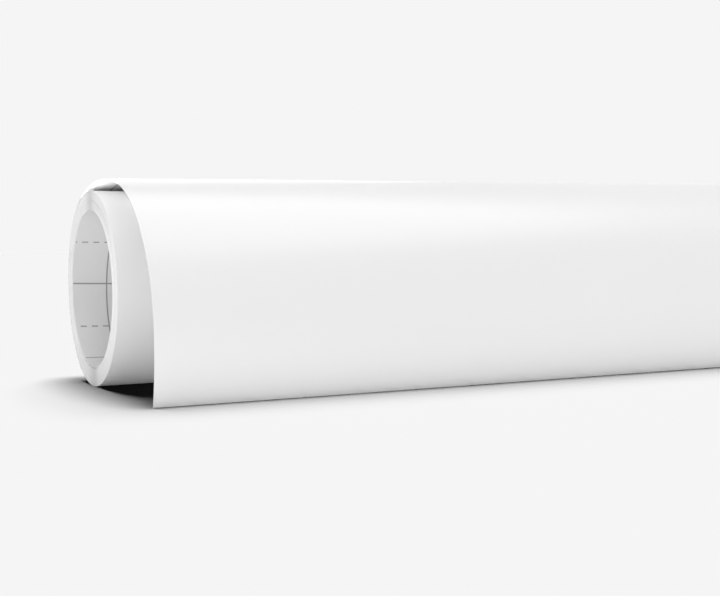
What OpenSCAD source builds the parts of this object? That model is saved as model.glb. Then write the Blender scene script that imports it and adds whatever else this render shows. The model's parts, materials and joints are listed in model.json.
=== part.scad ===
// Roll of self-adhesive sign vinyl.
// One long web of three bonded layers (glossy film, adhesive, printed release liner) is wound
// into a coil without a core.  Its free end leaves the coil behind the top, arches forwards
// and stands on its cut edge in front.  +X runs along the roll, -Y points to the free end,
// and the origin is on the surface that the roll lies on, below the middle of the object.

/* [Roll] */
// Width of the web, which is the length of the roll
roll_w = 305; // [150:1:610]
// Outer radius of the coil
coil_r = 26.4; // [25.8:0.1:32]
// Radius of the open bore, which has no core
bore_r = 21.1; // [17:0.1:21.8]
// Number of turns wound in the coil
turns = 17; // [8:1:19]
// Flat facets that stand for one turn of the web
facets = 48; // [48:1:72]
// How far the outermost turn springs away from the turn below it, at the front
slack = 0.35; // [0:0.05:0.6]

/* [Web layers] */
// Thickness of the glossy face film
film_t = 0.08; // [0.06:0.01:0.1]
// Thickness of the adhesive coat
adhesive_t = 0.04; // [0.03:0.01:0.05]
// Thickness of the release liner
liner_t = 0.13; // [0.1:0.01:0.14]

/* [Free end] */
// Where the web leaves the coil, in degrees behind its top
leave_angle = 18.75; // [11.25:7.5:26.25]
// Bend radius over the crown of the free end
crown_r = 68.9; // [60:0.1:80]
// Angle that the crown bends through
crown_turn = 27.9; // [24:0.1:32]
// Bend radius of the shoulder
shoulder_r = 38.3; // [35:0.1:42]
// Angle that the shoulder bends through
shoulder_turn = 78.8; // [75:0.1:83]
// Bend radius of the skirt, which ends at the cut edge
skirt_r = 60.7; // [54:0.1:70]
// Length of the free end that stays with the coil, ahead of its first bending line
lead_len = 12; // [10:0.5:14]
// Length of the last panel, where the film can be peeled
last_len = 28; // [24:0.5:30]
// Length of film on the last panel that stays down when the film is peeled
stub_len = 4; // [3:0.5:5]

/* [Clearances] */
// Gap between two panels at a bending line
bend_gap = 0.12; // [0.1:0.01:0.2]
// Gap between two strips of the peeling film
peel_gap = 0.1; // [0.08:0.01:0.15]
// Gap that the silicone coat of the liner leaves under the peeling adhesive
release_gap = 0.02; // [0.015:0.005:0.02]

/* [Hidden] */
PANELS = 7;
STRIPS = 6;
$fn = 256;
film_colour = "white";
adhesive_colour = "lightgoldenrodyellow";
liner_colour = "gainsboro";

// Depths of the layer boundaries, measured inwards from the glossy face
web_t = film_t + adhesive_t + liner_t;
film_span = [0, film_t];
adhesive_span = [film_t, film_t + adhesive_t];
liner_span = [film_t + adhesive_t, web_t];
peel_adhesive_span = [film_t, film_t + adhesive_t - release_gap];

// Coil: a spiral of flat facets whose middles touch the true turns
pitch = (coil_r - web_t - bore_r) / turns;
facet_angle = 360 / facets;
corner_scale = 1 / cos(facet_angle / 2);
last_station = turns * facets;
outer_turn = last_station - facets;
axis_z = coil_r - pitch * (180 - leave_angle - facet_angle / 2) / 360;

// Innermost turn: round, except for a rise over the web's inner end.  The bore is cut through
// short facets, whose corners stand clear of it by a share of their own height.
rise_facets = 5;
first_turn_flat = facets - rise_facets;
bore_steps = 3;
bore_proud = 0.4 * bore_r * (1 - cos(facet_angle / bore_steps / 2));

// Free end: three arcs that follow each other without a kink, down to the surface
function toward(angle) = [sin(angle), cos(angle)];
function arc_length(radius, angle) = radius * angle * PI / 180;
crown_end = leave_angle - crown_turn;
shoulder_end = crown_end - shoulder_turn;
crown_centre = [0, axis_z] + (coil_r * corner_scale - crown_r) * toward(leave_angle);
shoulder_centre = crown_centre + (crown_r - shoulder_r) * toward(crown_end);
skirt_centre = shoulder_centre + (shoulder_r - skirt_r) * toward(shoulder_end);
skirt_end = -acos(-skirt_centre[1] / skirt_r);
crown_len = arc_length(crown_r, crown_turn);
shoulder_len = arc_length(shoulder_r, shoulder_turn);
skirt_len = arc_length(skirt_r, shoulder_end - skirt_end);
flap_len = crown_len + shoulder_len + skirt_len;
panel_len = (flap_len - lead_len - last_len) / (PANELS - 1);
strip_len = (last_len - stub_len) / STRIPS;
panel_facets = 5;
strip_facets = 2;
lead_facets = 6;

// The object is centred over the origin between the skirt's front and the coil's back
front_y = skirt_centre[0] - skirt_r;
back_y = coil_r - pitch * (90 - leave_angle) / 360;
centre_y = (front_y + back_y) / 2;

// Radius of the glossy face at a station of the spiral, counted from the inner end
function settled_r(station) = bore_r + web_t + pitch * (
    station >= facets ? station / facets
    : max(0, station - first_turn_flat) / rise_facets
);

// The outermost turn stands off the turn below it over its inner half
function stand_off(station) =
    let (back = (last_station - station) / facets)
    back > 0.5 && back < 1 ? slack * pow(sin(360 * (back - 0.5)), 2) : 0;

function coil_point(station, depth) =
    [0, axis_z] + (settled_r(station) + stand_off(station) - depth) * corner_scale
    * toward(leave_angle + facet_angle * (last_station - station));

// A point of the free end, at a distance along its glossy face and a depth under it
function flap_point(distance, depth) =
    distance < crown_len
    ? crown_centre + (crown_r - depth) * toward(leave_angle - distance / arc_length(crown_r, 1))
    : distance < crown_len + shoulder_len
    ? shoulder_centre + (shoulder_r - depth)
        * toward(crown_end - (distance - crown_len) / arc_length(shoulder_r, 1))
    : skirt_centre + (skirt_r - depth)
        * toward(shoulder_end - (distance - crown_len - shoulder_len) / arc_length(skirt_r, 1));

// Distance from the coil to the bending line at the start of a panel or of a peeling strip
function panel_start(i) = lead_len + (i - 1) * panel_len;
function strip_start(i) = panel_start(PANELS) + stub_len + (i - 1) * strip_len;

// Distances from the coil to the facet corners of a stretch of the free end
function stations(from, to, count) = [for (k = [0:count]) from + (to - from) * k / count];
function panel_stations(i) =
    stations(panel_start(i) + bend_gap / 2, panel_start(i + 1) - bend_gap / 2, panel_facets);
function stub_stations() =
    stations(panel_start(PANELS) + bend_gap / 2, strip_start(1) - peel_gap / 2, strip_facets);
function strip_stations(i) =
    let (to = i < STRIPS ? strip_start(i + 1) - peel_gap / 2 : flap_len)
    stations(strip_start(i) + peel_gap / 2, to, strip_facets);

// The last panel's liner has its corners where the stub and the strips on it have theirs
function last_stations() =
    concat(stub_stations(), [for (i = [1:STRIPS]) each strip_stations(i)]);

function reversed(points) = [for (k = [len(points) - 1:-1:0]) points[k]];

// One layer of the wound web between two stations.  The layer that reaches the last station
// goes on over the stretch of free end that stays with the coil.
module wound_layer(from, to, span) {
    lead_step = (lead_len - bend_gap / 2) / lead_facets;
    lead = to == last_station ? [1:lead_facets] : [];
    outer_side = [for (k = [from:to]) coil_point(k, span[0])];
    inner_side = [for (k = [from:to]) coil_point(k, span[1])];
    outer_lead = [for (k = lead) flap_point(k * lead_step, span[0])];
    inner_lead = [for (k = lead) flap_point(k * lead_step, span[1])];
    place_outline()
        polygon(concat(outer_side, outer_lead, reversed(concat(inner_side, inner_lead))));
}

// One layer of a stretch of the free end
module flap_layer(distances, span) {
    place_outline()
        polygon(concat(
            [for (d = distances) flap_point(d, span[0])],
            reversed([for (d = distances) flap_point(d, span[1])])
        ));
}

// Draws an outline of the roll's end across the whole width of the web
module place_outline() {
    translate([-roll_w / 2, -centre_y, 0])
        rotate([90, 0, 90])
            linear_extrude(height = roll_w)
                children();
}

// The film of the outermost turn, which stands off the others
module outer_film() {
    color(film_colour) wound_layer(outer_turn, last_station, film_span);
}

module outer_liner() {
    color(liner_colour) wound_layer(outer_turn, last_station, liner_span);
}

// The film of all the turns below it
module wound_film() {
    color(film_colour) wound_layer(0, outer_turn, film_span);
}

module wound_adhesive() {
    color(adhesive_colour) wound_layer(0, last_station, adhesive_span);
}

module wound_liner() {
    color(liner_colour) wound_layer(facets, outer_turn, liner_span);
}

function bore_point(step) =
    [0, axis_z] + (bore_r + bore_proud)
    * toward(leave_angle + facet_angle * (last_station - step / bore_steps));

// The liner of the innermost turn, whose printed face is the wall of the bore
module bore_liner() {
    outer_side = [for (k = [0:facets]) coil_point(k, liner_span[0])];
    bore_side = [for (step = [0:bore_steps * first_turn_flat]) bore_point(step)];
    rising_side = [for (k = [first_turn_flat + 1:facets]) coil_point(k, web_t)];
    color(liner_colour)
        difference() {
            place_outline()
                polygon(concat(outer_side, reversed(concat(bore_side, rising_side))));
            translate([-roll_w / 2 - 1, -centre_y, axis_z])
                rotate([0, 90, 0])
                    cylinder(r = bore_r, h = roll_w + 2);
        }
}

// On the last panel, the film and the adhesive are only the stub above the peeling strips
function skin_stations(i) = i == PANELS ? stub_stations() : panel_stations(i);

module flap_film(i) {
    color(film_colour) flap_layer(skin_stations(i), film_span);
}

module flap_adhesive(i) {
    color(adhesive_colour) flap_layer(skin_stations(i), adhesive_span);
}

module flap_liner(i) {
    color(liner_colour)
        flap_layer(i == PANELS ? last_stations() : panel_stations(i), liner_span);
}

module peel_film(i) {
    color(film_colour) flap_layer(strip_stations(i), film_span);
}

module peel_adhesive(i) {
    color(adhesive_colour) flap_layer(strip_stations(i), peel_adhesive_span);
}

outer_film();
outer_liner();
wound_film();
wound_adhesive();
wound_liner();
bore_liner();
for (i = [1:PANELS]) {
    flap_film(i);
    flap_adhesive(i);
    flap_liner(i);
}
for (i = [1:STRIPS]) {
    peel_film(i);
    peel_adhesive(i);
}
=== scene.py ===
import json
import math

import bpy
from mathutils import Matrix, Vector, noise


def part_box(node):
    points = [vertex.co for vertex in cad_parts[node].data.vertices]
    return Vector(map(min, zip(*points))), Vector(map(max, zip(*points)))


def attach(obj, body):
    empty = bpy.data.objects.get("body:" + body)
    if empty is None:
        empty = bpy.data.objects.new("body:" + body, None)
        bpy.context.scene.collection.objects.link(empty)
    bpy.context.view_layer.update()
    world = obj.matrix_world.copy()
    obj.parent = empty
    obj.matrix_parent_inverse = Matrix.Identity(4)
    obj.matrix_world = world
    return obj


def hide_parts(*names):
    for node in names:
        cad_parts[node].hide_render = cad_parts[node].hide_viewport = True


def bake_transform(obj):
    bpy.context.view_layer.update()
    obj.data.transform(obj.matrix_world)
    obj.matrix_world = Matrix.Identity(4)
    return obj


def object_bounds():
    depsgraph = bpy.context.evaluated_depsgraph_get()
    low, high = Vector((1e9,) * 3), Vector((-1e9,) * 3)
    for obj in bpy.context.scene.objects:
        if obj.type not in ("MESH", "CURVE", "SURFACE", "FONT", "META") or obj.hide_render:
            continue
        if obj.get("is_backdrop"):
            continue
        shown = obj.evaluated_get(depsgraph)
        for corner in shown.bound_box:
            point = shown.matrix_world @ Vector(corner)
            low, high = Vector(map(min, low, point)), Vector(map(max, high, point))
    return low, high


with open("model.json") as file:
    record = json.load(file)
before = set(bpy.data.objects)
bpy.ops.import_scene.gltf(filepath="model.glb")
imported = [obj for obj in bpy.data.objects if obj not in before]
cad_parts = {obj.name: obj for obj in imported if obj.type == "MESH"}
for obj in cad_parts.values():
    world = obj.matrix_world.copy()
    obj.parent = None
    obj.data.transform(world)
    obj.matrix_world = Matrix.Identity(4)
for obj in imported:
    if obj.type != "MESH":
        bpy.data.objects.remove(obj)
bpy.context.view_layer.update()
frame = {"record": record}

MM = 0.001

# ---------------------------------------------------------------------------------------------
# Driving sizes of the roll, the same as in the CAD source.  Places come from the frame.
# ---------------------------------------------------------------------------------------------
BORE = next(mount for mount in frame["record"]["mounts"] if mount["name"] == "bore")
AXIS_Y, AXIS_Z = BORE["pos_m"][1:]
BORE_R = BORE["dims"]["r_mm"] * MM
LEFT, RIGHT = (corner.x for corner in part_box("wound_film"))
COIL_R = 26.4 * MM
TURNS = 17
SLACK = 0.35 * MM
FILM_T = 0.08 * MM
ADHESIVE_T = 0.04 * MM
LINER_T = 0.13 * MM
WEB_T = FILM_T + ADHESIVE_T + LINER_T
RELEASE_GAP = 0.02 * MM
PITCH = (COIL_R - WEB_T - BORE_R) / TURNS
FACETS = 48
CORNER_R = COIL_R / math.cos(math.pi / FACETS)
LEAVE_ANGLE = math.radians(18.75)
CROWN_R = 68.9 * MM
CROWN_TURN = math.radians(27.9)
SHOULDER_R = 38.3 * MM
SHOULDER_TURN = math.radians(78.8)
SKIRT_R = 60.7 * MM
LEAD_LEN = 12 * MM
LAST_LEN = 28 * MM
STUB_LEN = 4 * MM
PANELS = 7
STRIPS = 6

FILM_SPAN = (0, FILM_T)
ADHESIVE_SPAN = (FILM_T, FILM_T + ADHESIVE_T)
LINER_SPAN = (FILM_T + ADHESIVE_T, WEB_T)
PEEL_ADHESIVE_SPAN = (FILM_T, FILM_T + ADHESIVE_T - RELEASE_GAP)


def toward(angle):
    """Unit direction in the plane of the roll's end, measured from straight up to the back."""
    return Vector((math.sin(angle), math.cos(angle)))


CROWN_END = LEAVE_ANGLE - CROWN_TURN
SHOULDER_END = CROWN_END - SHOULDER_TURN
AXIS = Vector((AXIS_Y, AXIS_Z))
CROWN_CENTRE = AXIS + (CORNER_R - CROWN_R) * toward(LEAVE_ANGLE)
SHOULDER_CENTRE = CROWN_CENTRE + (CROWN_R - SHOULDER_R) * toward(CROWN_END)
SKIRT_CENTRE = SHOULDER_CENTRE + (SHOULDER_R - SKIRT_R) * toward(SHOULDER_END)
SKIRT_END = -math.acos(-SKIRT_CENTRE.y / SKIRT_R)
CROWN_LEN = CROWN_R * CROWN_TURN
SHOULDER_LEN = SHOULDER_R * SHOULDER_TURN
FLAP_LEN = CROWN_LEN + SHOULDER_LEN + SKIRT_R * (SHOULDER_END - SKIRT_END)
PANEL_LEN = (FLAP_LEN - LEAD_LEN - LAST_LEN) / (PANELS - 1)
STRIP_LEN = (LAST_LEN - STUB_LEN) / STRIPS


# ---------------------------------------------------------------------------------------------
# Camera
# ---------------------------------------------------------------------------------------------
CAMERA_PLACE = Vector((LEFT - 84.8 * MM, AXIS_Y - 337.8 * MM, 37.1 * MM))
CAMERA_YAW = math.radians(26.062)
CAMERA_PITCH = math.radians(-2.429)
CAMERA_ROLL = math.radians(-0.851)
CAMERA_LENS = 63.39
SENSOR_WIDTH = 36
CLIP_START, CLIP_END = 0.01, 100


def make_camera():
    """The camera stands in front of the roll and left of its near end, and looks along it."""
    look = Vector((
        math.sin(CAMERA_YAW) * math.cos(CAMERA_PITCH),
        math.cos(CAMERA_YAW) * math.cos(CAMERA_PITCH),
        math.sin(CAMERA_PITCH),
    ))
    level = Vector((math.cos(CAMERA_YAW), -math.sin(CAMERA_YAW), 0))
    upright = level.cross(look)
    right = level * math.cos(CAMERA_ROLL) + upright * math.sin(CAMERA_ROLL)
    up = upright * math.cos(CAMERA_ROLL) - level * math.sin(CAMERA_ROLL)
    camera = bpy.data.objects.new("camera", bpy.data.cameras.new("camera"))
    camera.data.sensor_width = SENSOR_WIDTH
    camera.data.lens = CAMERA_LENS
    camera.data.clip_start = CLIP_START
    camera.data.clip_end = CLIP_END
    camera.matrix_world = Matrix((
        (right.x, up.x, -look.x, CAMERA_PLACE.x),
        (right.y, up.y, -look.y, CAMERA_PLACE.y),
        (right.z, up.z, -look.z, CAMERA_PLACE.z),
        (0, 0, 0, 1),
    ))
    bpy.context.scene.collection.objects.link(camera)
    bpy.context.scene.camera = camera


make_camera()


# ---------------------------------------------------------------------------------------------
# The path of the web: distance 0 is where it leaves the coil, and the wound part is negative
# ---------------------------------------------------------------------------------------------
# Share of a turn over which the innermost one rises over the web's inner end, and over which
# the outermost one rises to where the free end starts
RISE_TURNS = 0.1
LIFT_TURNS = 0.3
# The turns up to this one, counted from the innermost one, lie in the inner stack
LOOSE_TURN = 8
LOOSE_GAP = 0.16 * MM
# The slack of the outer stack's turns differs by up to this share
SLACK_SPREAD = 0.05
# How far apart in the noise two turns take their values
TURN_STEP = 3.7
# Where the coil's back is, in turns back from where the web leaves the coil
BACK_SIDE = (math.pi / 2 - LEAVE_ANGLE) / (2 * math.pi)


def smooth(t):
    """Rises from 0 to 1 without a kink at either end, and stays there."""
    t = min(1, max(0, t))
    return t * t * (3 - 2 * t)


def coil_radius(back):
    """Radius of the glossy face, this many turns back from where the web leaves the coil."""
    along = TURNS - back
    settled = along if along >= 1 else smooth((along - (1 - RISE_TURNS)) / RISE_TURNS)
    lift = (CORNER_R - COIL_R) * smooth(1 - back / LIFT_TURNS)
    return BORE_R + WEB_T + PITCH * settled + looseness(back) + lift


def looseness(back):
    """The turns lie in two stacks, which stand apart in front and meet at the back."""
    turn = math.ceil(TURNS - back + BACK_SIDE)
    around = (back % 1) * 2 * math.pi
    in_front = math.sin(around) ** 2 if around > math.pi else 0
    if turn > LOOSE_TURN:
        uneven = noise.noise(Vector((turn * TURN_STEP, math.cos(around), math.sin(around))))
        share = 1 if back < 1 else 1 + SLACK_SPREAD * uneven
        return SLACK * in_front * share
    return -LOOSE_GAP * in_front * max(0, turn - 1) / LOOSE_TURN


def coil_point(back, depth):
    """A point of the wound web, so many turns back and at a depth under its glossy face."""
    return AXIS + (coil_radius(back) - depth) * toward(LEAVE_ANGLE + 2 * math.pi * back)


def flap_point(distance, depth):
    """A point of the free end, at a distance along its glossy face and a depth under it."""
    if distance < CROWN_LEN:
        return CROWN_CENTRE + (CROWN_R - depth) * toward(LEAVE_ANGLE - distance / CROWN_R)
    distance -= CROWN_LEN
    if distance < SHOULDER_LEN:
        return SHOULDER_CENTRE + (SHOULDER_R - depth) * toward(CROWN_END - distance / SHOULDER_R)
    distance -= SHOULDER_LEN
    return SKIRT_CENTRE + (SKIRT_R - depth) * toward(SHOULDER_END - distance / SKIRT_R)


def panel_start(i):
    """Distance from the coil to the bending line at the start of a panel."""
    return LEAD_LEN + (i - 1) * PANEL_LEN


def panel_middle(i):
    """Middle of a panel.  Panel 0 is the lead that stays with the coil, and the last panel counts
    as long as the stub of film that stays down on it."""
    if i == 0:
        return LEAD_LEN / 2
    return panel_start(i) + (STUB_LEN if i == PANELS else PANEL_LEN) / 2


def strip_middle(i):
    """Middle of a peeling strip.  The stub of film above them counts as strip 0."""
    if i == 0:
        return panel_middle(PANELS)
    return panel_start(PANELS) + STUB_LEN + (i - 0.5) * STRIP_LEN


# ---------------------------------------------------------------------------------------------
# Building layers of the web
# ---------------------------------------------------------------------------------------------
SHARP_ANGLE = math.radians(40)
# Material slots of a layer's outer face, inner face and cut edges
PLAIN = (0, 0, 0)
PLAIN_AND_CUT = (0, 0, 1)
PRINTED = (0, 1, 0)
PRINTED_AND_CUT = (0, 1, 2)


def build_layer(name, rows, columns, face_slots):
    """A closed sheet of the web, with so many columns across it.  Each row is its outer point, its
    inner point, its distance along the web, and its ends along X."""
    verts, faces, slots, web = [], [], [], []
    count = columns + 1
    for outer, inner, distance, (start, end) in rows:
        for side in (outer, inner):
            for c in range(count):
                x = start + (end - start) * c / columns
                verts.append((x, side.x, side.y))
                web.append((x - LEFT, distance, 0))
    for r in range(len(rows) - 1):
        a, b = r * 2 * count, (r + 1) * 2 * count
        for c in range(columns):
            faces.append((a + c, a + c + 1, b + c + 1, b + c))
            slots.append(face_slots[0])
            faces.append((a + count + c + 1, a + count + c, b + count + c, b + count + c + 1))
            slots.append(face_slots[1])
        faces.append((a, b, b + count, a + count))
        faces.append((b + columns, a + columns, a + count + columns, b + count + columns))
        slots += [face_slots[2]] * 2
    last = (len(rows) - 1) * 2 * count
    for c in range(columns):
        faces.append((c + 1, c, count + c, count + c + 1))
        faces.append((last + c, last + c + 1, last + count + c + 1, last + count + c))
        slots += [face_slots[2]] * 2
    mesh = bpy.data.meshes.new(name)
    mesh.from_pydata(verts, [], faces)
    mesh.polygons.foreach_set("material_index", slots)
    place = mesh.attributes.new("web_place", "FLOAT_VECTOR", "POINT")
    place.data.foreach_set("vector", [v for p in web for v in p])
    mesh.polygons.foreach_set("use_smooth", [True] * len(faces))
    mesh.set_sharp_from_angle(angle=SHARP_ANGLE)
    obj = bpy.data.objects.new(name, mesh)
    bpy.context.scene.collection.objects.link(obj)
    return obj


# The free end's ripple: its height, its size across and along the web, the stretch over which
# it starts, and the slice of the noise that it is taken from
RIPPLE_HEIGHT = 0.10 * MM
RIPPLE_ACROSS, RIPPLE_ALONG = 0.09, 0.03
RIPPLE_START = 20 * MM
RIPPLE_SLICE = 4.0
# The wander of the wound turns' cut edges: its unit, its mean, how fast its slow part changes
# and how much one turn differs from the next one, and its slice of the noise
WANDER_UNIT = 0.05 * MM
WANDER_MEAN = 1.5
WANDER_PACE = 0.9
WANDER_TURN = 2.4
WANDER_SLICE = 7.0


def ripple(x, distance):
    """Slight unevenness of the free end, in metres outwards, which fades out towards the coil."""
    fade = smooth(distance / RIPPLE_START)
    place = Vector((x / RIPPLE_ACROSS, distance / RIPPLE_ALONG, RIPPLE_SLICE))
    return RIPPLE_HEIGHT * fade * noise.noise(place)


def edge_wander(back):
    """How far the cut edge of a wound turn lies inside the roll's end."""
    waver = noise.noise(Vector((back * WANDER_PACE, math.sin(2 * math.pi * back), WANDER_SLICE)))
    shift = math.sin(math.floor(back) * WANDER_TURN)
    return WANDER_UNIT * smooth(back) * (WANDER_MEAN + waver + shift)


STEPS_PER_TURN = 160


def wound_rows(span):
    """Rows of a layer from the inner end of the coil to one step before it leaves the coil."""
    rows = []
    for k in range(TURNS * STEPS_PER_TURN, 0, -1):
        back = k / STEPS_PER_TURN
        wander = edge_wander(back)
        ends = (LEFT + wander, RIGHT - wander)
        outer, inner = (coil_point(back, depth) for depth in span)
        rows.append((outer, inner, WOUND_DISTANCE[k], ends))
    return rows


def wound_distances():
    """Distance along the web at each step back along the coil, negative, and 0 where it leaves."""
    distances = [0]
    for k in range(1, TURNS * STEPS_PER_TURN + 1):
        radius = coil_radius((k - 0.5) / STEPS_PER_TURN) - WEB_T / 2
        distances.append(distances[-1] - radius * 2 * math.pi / STEPS_PER_TURN)
    return distances


WOUND_DISTANCE = wound_distances()


FLAP_STEP = 0.5 * MM


def flap_rows(start, end, span):
    """Rows of a layer between two distances along the free end."""
    count = max(2, round((end - start) / FLAP_STEP))
    rows = []
    for k in range(count + 1):
        distance = start + (end - start) * k / count
        outer, inner = (flap_point(distance, depth) for depth in span)
        rows.append((outer, inner, distance, (LEFT, RIGHT)))
    return rows


def web_middle(distance):
    """Point in the middle of the web's thickness, at a distance along the free end."""
    point = flap_point(distance, WEB_T / 2)
    return (0, point.x, point.y)


# ---------------------------------------------------------------------------------------------
# Materials
# ---------------------------------------------------------------------------------------------
# Scale and detail of each noise texture
FILM_CLOUDS = (18.0, 2.0)
ORANGE_PEEL = (900.0, 3.0)
PEBBLES = (1500.0, 2.0)
PAPER_CLOUDS = (120.0, 3.0)
PAPER_FIBRES = (1400.0, 4.0)
INK_GRAIN = (2500.0, 2.0)
CUT_CLOUDS = (160.0, 4.0)
# Dark and light end of each surface's changes of tone
FILM_TONES = ((0.885, 0.886, 0.888), (0.905, 0.905, 0.904))
PAPER_TONES = ((0.755, 0.755, 0.757), (0.800, 0.798, 0.796))
# The roll's end is greyer than its film, partly for the grey liner among its edges and partly as
# painted shade of the narrow gaps between the turns
CUT_TONES = ((0.745, 0.748, 0.751), (0.815, 0.816, 0.817))
# Colour of the painted shade streaks over and under the bore on the roll's end
PAINTED_SHADE_COLOUR = (0.62, 0.622, 0.624)
INK_COLOUR = (0.24, 0.25, 0.27)
BUMP_DEPTH = 0.1 * MM


def new_material(name, colour, roughness, **sockets):
    """A material with a Principled shader; colour is what shows where nodes don't give another."""
    material = bpy.data.materials.new(name)
    material.use_nodes = True
    shader = material.node_tree.nodes["Principled BSDF"]
    shader.inputs["Base Color"].default_value = (*colour, 1)
    shader.inputs["Roughness"].default_value = roughness
    for socket, value in sockets.items():
        shader.inputs[socket.replace("_", " ")].default_value = value
    return material, material.node_tree, shader


def add_node(tree, kind, inputs=None, **settings):
    """Adds a node.  inputs maps a socket's name or number to a value or another node's output."""
    node = tree.nodes.new(kind)
    for key, value in settings.items():
        setattr(node, key, value)
    for key, value in (inputs or {}).items():
        if isinstance(value, bpy.types.NodeSocket):
            tree.links.new(value, node.inputs[key])
        else:
            node.inputs[key].default_value = value
    return node


def math_node(tree, operation, *values):
    inputs = dict(enumerate(values))
    return add_node(tree, "ShaderNodeMath", inputs, operation=operation).outputs[0]


def noise_node(tree, place, texture):
    scale, detail = texture
    inputs = {"Vector": place, "Scale": scale, "Detail": detail}
    return add_node(tree, "ShaderNodeTexNoise", inputs).outputs["Fac"]


def tone_node(tree, place, texture, tones):
    """Cloudy changes between two tones, as a colour output."""
    ramp = add_node(tree, "ShaderNodeValToRGB", {"Fac": noise_node(tree, place, texture)})
    for element, tone in zip(ramp.color_ramp.elements, tones):
        element.color = (*tone, 1)
    return ramp.outputs["Color"]


def mix_node(tree, amount, base, colour):
    """A colour laid over a colour output, by an amount from 0 to 1."""
    inputs = {"Factor": amount, "A": base, "B": (*colour, 1)}
    return add_node(tree, "ShaderNodeMix", inputs, data_type="RGBA").outputs["Result"]


def web_coordinates(tree):
    """Place on the flat web: metres from the roll's end, and metres along the web."""
    return add_node(tree, "ShaderNodeAttribute", attribute_name="web_place").outputs["Vector"]


def add_bump(tree, shader, height, strength):
    inputs = {"Height": height, "Strength": strength, "Distance": BUMP_DEPTH}
    bump = add_node(tree, "ShaderNodeBump", inputs)
    tree.links.new(bump.outputs["Normal"], shader.inputs["Normal"])


def film_material():
    """Calendered white vinyl: glossy, with a very faint orange peel and slow changes of tone."""
    material, tree, shader = new_material("film", (0.9, 0.9, 0.9), roughness=0.3, IOR=1.5)
    place = web_coordinates(tree)
    tree.links.new(tone_node(tree, place, FILM_CLOUDS, FILM_TONES), shader.inputs["Base Color"])
    add_bump(tree, shader, noise_node(tree, place, ORANGE_PEEL), strength=0.06)
    return material


def adhesive_material():
    """Clear acrylic adhesive on the white film: slightly warm, smooth, faintly pebbled."""
    material, tree, shader = new_material(
        "adhesive", (0.84, 0.835, 0.8), roughness=0.22, IOR=1.47)
    add_bump(tree, shader, noise_node(tree, web_coordinates(tree), PEBBLES), strength=0.15)
    return material


def paper_nodes(tree, shader):
    """Fine felt texture of the liner's paper; returns its tone as a colour output."""
    place = web_coordinates(tree)
    add_bump(tree, shader, noise_node(tree, place, PAPER_FIBRES), strength=0.12)
    return tone_node(tree, place, PAPER_CLOUDS, PAPER_TONES)


def liner_material():
    """The liner's release side and the free end's cut edges: smooth coated paper."""
    material, tree, shader = new_material("liner", (0.8, 0.8, 0.8), roughness=0.42)
    tree.links.new(paper_nodes(tree, shader), shader.inputs["Base Color"])
    return material


GRID_PITCH = 25.4 * MM
GRID_SKEW = 0.03
# A line is whole up to the first distance from its middle, and has faded out at the second one
LINE_WHOLE, LINE_FADED = 0.16 * MM, 0.24 * MM
DASH_PITCH = GRID_PITCH / 8
DASH_LEN = 1.7 * MM
DASH_START = 2.5 * MM
DASH_BLUR = 0.03 * MM
PRINT_MARGIN = 0.2 * MM
INK_DENSITY = (0.75, 1.0)
# The first line round the roll, and the line along it on the bore's back wall, above its middle
GRID_START_X = 9.8 * MM
GRID_START_WEB = WOUND_DISTANCE[round((TURNS - 1 + BACK_SIDE) * STEPS_PER_TURN)] + 0.9 * MM


def marks(tree, coordinate, start, pitch, edges):
    """Marks one pitch apart, with one at start.  edges are the distances from a mark's middle up
    to which it is whole and where it has faded out."""
    shifted = math_node(tree, "SUBTRACT", coordinate, start)
    away = math_node(tree, "PINGPONG", shifted, pitch / 2)
    whole, faded = edges
    inputs = {"Value": away, "From Min": faded, "From Max": whole}
    return add_node(tree, "ShaderNodeMapRange", inputs).outputs["Result"]


def grid_lines(tree, coordinate, start):
    return marks(tree, coordinate, start, GRID_PITCH, (LINE_WHOLE, LINE_FADED))


def dashes(tree, coordinate, start):
    edges = (DASH_LEN / 2 - DASH_BLUR, DASH_LEN / 2 + DASH_BLUR)
    return marks(tree, coordinate, start, DASH_PITCH, edges)


def printed_material():
    """The liner's back: paper printed with a grey inch grid and dashed half-inch lines, which stop
    just short of its cut edges, so that none shows where a turn stands out from the next one."""
    material, tree, shader = new_material("liner_print", (0.8, 0.8, 0.8), roughness=0.5)
    paper = paper_nodes(tree, shader)
    place = web_coordinates(tree)
    printed = add_node(tree, "ShaderNodeVectorRotate", {
        "Vector": place, "Center": (GRID_START_X, GRID_START_WEB, 0), "Angle": GRID_SKEW,
    }, rotation_type="Z_AXIS")
    split = add_node(tree, "ShaderNodeSeparateXYZ", {"Vector": printed.outputs["Vector"]})
    across, along = split.outputs["X"], split.outputs["Y"]
    half = GRID_PITCH / 2
    line_sets = (
        grid_lines(tree, along, GRID_START_WEB),
        grid_lines(tree, across, GRID_START_X),
        math_node(
            tree, "MULTIPLY",
            grid_lines(tree, along, GRID_START_WEB + half), dashes(tree, across, DASH_START)),
        math_node(
            tree, "MULTIPLY",
            grid_lines(tree, across, GRID_START_X + half), dashes(tree, along, 0.0)),
    )
    ink = line_sets[0]
    for lines in line_sets[1:]:
        ink = math_node(tree, "MAXIMUM", ink, lines)
    width = add_node(tree, "ShaderNodeSeparateXYZ", {"Vector": place}).outputs["X"]
    from_edge = math_node(tree, "PINGPONG", width, (RIGHT - LEFT) / 2)
    inside = math_node(tree, "GREATER_THAN", from_edge, PRINT_MARGIN)
    density = add_node(tree, "ShaderNodeMapRange", {
        "Value": noise_node(tree, place, INK_GRAIN),
        "To Min": INK_DENSITY[0], "To Max": INK_DENSITY[1],
    })
    amount = math_node(
        tree, "MULTIPLY", math_node(tree, "MULTIPLY", ink, inside), density.outputs["Result"])
    tree.links.new(mix_node(tree, amount, paper, INK_COLOUR), shader.inputs["Base Color"])
    return material


# How far from the bore's middle the painted shade on the roll's end reaches, front and back
PAINTED_SHADE_WIDTH = 6.5 * MM


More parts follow.
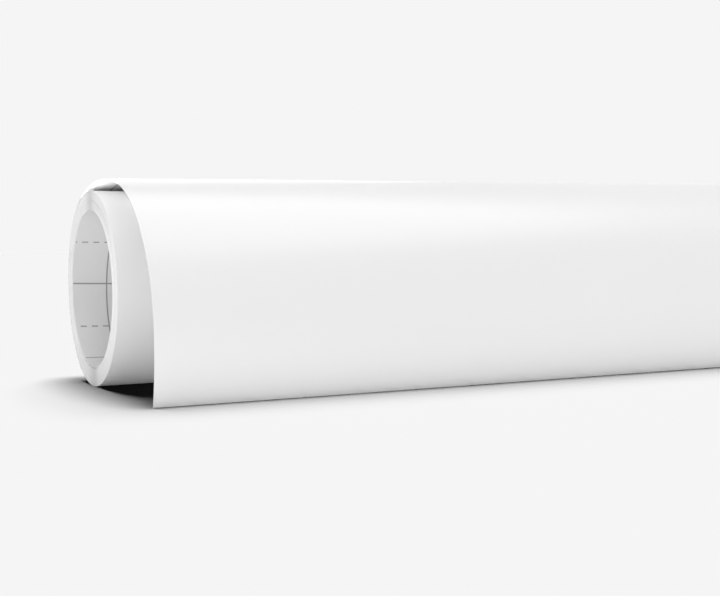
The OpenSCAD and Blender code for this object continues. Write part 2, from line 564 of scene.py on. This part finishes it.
def cut_material():
    """The roll's end: the cut edges of all the turns, greyer than the faces, partly for the grey
    liner and partly as painted shade of the gaps between the turns, with soft clouds of tone, and
    with two darker streaks of painted shade over and under the bore, standing in for the way light
    glances off a turned face."""
    material, tree, shader = new_material("cut_edges", (0.8, 0.8, 0.8), roughness=0.5)
    place = add_node(tree, "ShaderNodeTexCoord").outputs["Object"]
    split = add_node(tree, "ShaderNodeSeparateXYZ", {"Vector": place})
    # Painted shade: the end is darkened in a band through the bore's middle, over and under the
    # bore
    away = math_node(
        tree, "ABSOLUTE", math_node(tree, "SUBTRACT", split.outputs["Y"], AXIS_Y))
    painted_shade = add_node(tree, "ShaderNodeMapRange", {
        "Value": away, "From Min": 0.0, "From Max": PAINTED_SHADE_WIDTH, "To Min": 1.0, "To Max": 0.0,
    }, interpolation_type="SMOOTHSTEP")
    clouds = tone_node(tree, place, CUT_CLOUDS, CUT_TONES)
    colour = mix_node(tree, painted_shade.outputs["Result"], clouds, PAINTED_SHADE_COLOUR)
    tree.links.new(colour, shader.inputs["Base Color"])
    return material


FILM = film_material()
ADHESIVE = adhesive_material()
LINER = liner_material()
PRINT = printed_material()
CUT = cut_material()


# ---------------------------------------------------------------------------------------------
# The wound coil
# ---------------------------------------------------------------------------------------------
def make_wound(name, rows, materials, face_slots):
    """A layer of the web that rides on the coil."""
    obj = build_layer(name, rows, 1, face_slots)
    for material in materials:
        obj.data.materials.append(material)
    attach(obj, "coil")
    return obj


def lead_rows(span):
    """Rows of the stretch of free end that stays with the coil."""
    return flap_rows(0, panel_middle(0), span)


def whole_rows(span):
    return wound_rows(span) + lead_rows(span)


coil_film = make_wound(
    "coil_film", whole_rows(FILM_SPAN), [FILM, CUT], PLAIN_AND_CUT)
coil_adhesive = make_wound(
    "coil_adhesive", whole_rows(ADHESIVE_SPAN), [ADHESIVE, CUT], PLAIN_AND_CUT)
# The liner's lead is a piece of its own, because its lamp is the one under the arch
wound_liner = wound_rows(LINER_SPAN) + lead_rows(LINER_SPAN)[:1]
coil_liner = make_wound(
    "coil_liner", wound_liner, [LINER, PRINT, CUT], PRINTED_AND_CUT)
lead_liner = make_wound(
    "lead_liner", lead_rows(LINER_SPAN), [LINER, PRINT], PRINTED)
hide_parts("outer_film", "wound_film")
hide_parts("wound_adhesive")
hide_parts("wound_liner", "bore_liner")
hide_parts("outer_liner")


# ---------------------------------------------------------------------------------------------
# The free end: each piece reaches from the middle of one panel to the middle of the next one,
# across the line between them
# ---------------------------------------------------------------------------------------------
FLAP_COLUMNS = 40


def make_bending(name, start, end, bend_end, span, materials, face_slots):
    """A layer from start to end, moved outwards by the free end's ripple.  The middle points at
    start and bend_end are worked out but not used."""
    obj = build_layer(name, flap_rows(start, end, span), FLAP_COLUMNS, face_slots)
    shift_by_ripple(obj)
    for material in materials:
        obj.data.materials.append(material)
    web_middle(start)
    web_middle(bend_end)
    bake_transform(obj)
    return obj


def shift_by_ripple(obj):
    """Moves each point of a layer outwards by the ripple at its place on the web."""
    places = obj.data.attributes["web_place"].data
    for vertex, place in zip(obj.data.vertices, places):
        x, distance, _ = place.vector
        top = flap_point(distance, 0)
        normal = (top - flap_point(distance, MM)) / MM
        amount = ripple(x, distance)
        vertex.co.y += normal.x * amount
        vertex.co.z += normal.y * amount


def make_free_end():
    """Film, adhesive and liner over each bending line of the free end."""
    for i in range(1, PANELS + 1):
        start, middle = panel_middle(i - 1), panel_middle(i)
        for layer, span, material in (
            ("film", FILM_SPAN, FILM),
            ("adhesive", ADHESIVE_SPAN, ADHESIVE),
        ):
            piece = make_bending(
                f"free_{layer}_{i}", start, middle, middle, span,
                [material], PLAIN)
            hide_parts(f"flap_{layer}_{i}")
        end = FLAP_LEN if i == PANELS else middle
        piece = make_bending(
            f"free_liner_{i}", start, end, middle, LINER_SPAN,
            [LINER, PRINT], PRINTED)
        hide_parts(f"flap_liner_{i}")


def make_peeling_film():
    """Film and adhesive over each bending line of the stretch that can be peeled off the liner."""
    for i in range(1, STRIPS + 1):
        start, middle = strip_middle(i - 1), strip_middle(i)
        end = FLAP_LEN if i == STRIPS else middle
        for layer, span, material in (
            ("film", FILM_SPAN, FILM),
            ("adhesive", PEEL_ADHESIVE_SPAN, ADHESIVE),
        ):
            piece = make_bending(
                f"peeling_{layer}_{i}", start, end, middle, span,
                [material], PLAIN)
            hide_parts(f"peel_{layer}_{i}")


make_free_end()
make_peeling_film()


# ---------------------------------------------------------------------------------------------
# Floor and light.  The floor has two lamps of its own, nearly overhead, for a short dark shadow.
# The roll's are broad and come from all sides, and some light only a part of it.
# ---------------------------------------------------------------------------------------------
PALE = 0.913
FLOOR_COLOUR = 0.02
FLOOR_ROUGHNESS = 0.9
FLOOR_SIZE = 12.0
FLOOR_DROP = 0.02 * MM


def make_floor():
    """The floor is dark and strongly lit, so that light from the roll doesn't fill the shadow.
    It casts no shadow itself, so that light can come from under it."""
    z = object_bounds()[0].z - FLOOR_DROP
    signs = ((-1, -1), (1, -1), (1, 1), (-1, 1))
    corners = [(x * FLOOR_SIZE, y * FLOOR_SIZE, z) for x, y in signs]
    mesh = bpy.data.meshes.new("floor")
    mesh.from_pydata(corners, [], [(0, 1, 2, 3)])
    material, _, _ = new_material(
        "floor", (FLOOR_COLOUR,) * 3, FLOOR_ROUGHNESS, Specular_IOR_Level=0.0)
    mesh.materials.append(material)
    obj = bpy.data.objects.new("floor", mesh)
    bpy.context.scene.collection.objects.link(obj)
    obj.visible_shadow = False
    obj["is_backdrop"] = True
    return obj


def make_lamp(name, source, spread, strength, lit):
    """A sun that shines from the source direction, as broad as spread in degrees, on the lit
    group only."""
    lamp = bpy.data.objects.new(name, bpy.data.lights.new(name, "SUN"))
    lamp.data.energy = strength
    lamp.data.angle = math.radians(spread)
    lamp.rotation_euler = Vector(source).to_track_quat("Z", "Y").to_euler()
    bpy.context.scene.collection.objects.link(lamp)
    lamp.light_linking.receiver_collection = lit
    # The floor casts no shadow but stops all other rays, so lamps under it use shadow rays alone
    lamp.data.cycles.use_multiple_importance_sampling = source[2] >= 0


def make_group(name, objects):
    group = bpy.data.collections.new(name)
    for obj in objects:
        group.objects.link(obj)
    return group


def make_world():
    """A pale backdrop, which the gloss of the film mirrors.  The lamps do the rest."""
    world = bpy.data.worlds.new("studio")
    bpy.context.scene.world = world
    world.use_nodes = True
    background = world.node_tree.nodes["Background"]
    background.inputs["Color"].default_value = (PALE, PALE, PALE, 1)
    world.cycles_visibility.diffuse = False
    world.cycles.sampling_method = "NONE"


roll_pieces = [obj for obj in bpy.data.objects if obj.type == "MESH"]


def pieces_named(*starts):
    return [obj for obj in roll_pieces if obj.name.startswith(starts)]


lit_floor = make_group("lit_floor", [make_floor()])
lit_roll = make_group("lit_roll", roll_pieces)
lit_face = make_group("lit_face", pieces_named("free_film", "free_adhesive", "peeling"))
lit_arch = make_group("lit_arch", [
    lead_liner, *pieces_named("free_liner_1", "free_liner_2", "free_liner_3")])
lit_outside = make_group("lit_outside", [coil_film])
lit_bore = make_group("lit_bore", [coil_liner, coil_adhesive])

# The floor's lamps: where each stands, its spread, and its share of the light that makes the
# floor pale
FLOOR_LAMPS = {
    "floor_top": ((0.105, -0.03, 1), 20, 0.48),
    "floor_back": ((0.13, 0.38, 1), 40, 0.47),
}
# The roll's lamps: where each stands, its spread, its strength and what it lights.  The low ones
# add to the light that a white studio floor returns.
ROLL_LAMPS = {
    "top": ((0, 0, 1), 75, 2.6, lit_roll),
    "left_front": ((-1, -1.2, 0.3), 40, 0.25, lit_roll),
    "right": ((1, 0, 0), 60, 0.25, lit_roll),
    "back": ((0, 1, 0.1), 60, 0.5, lit_roll),
    "front_top": ((0, -1, 0.8), 50, 0.2, lit_face),
    "front_low": ((0, -1, -0.5), 60, 0.92, lit_face),
    "coil_low": ((-1, -1.1, -0.3), 40, 1.75, lit_outside),
    "bore_low": ((-1, -0.8, -0.1), 40, 1.43, lit_bore),
    "under_left": ((-0.7, -0.1, -1), 60, 0.4, lit_bore),
    "arch_low": ((-1, -0.2, -0.33), 42, 7.6, lit_arch),
}

for name, (source, spread, share) in FLOOR_LAMPS.items():
    make_lamp(name, source, spread, share * math.pi / FLOOR_COLOUR, lit_floor)
for name, (source, spread, strength, lit) in ROLL_LAMPS.items():
    make_lamp(name, source, spread, strength, lit)
make_world()
bpy.context.scene.view_settings.view_transform = "Standard"
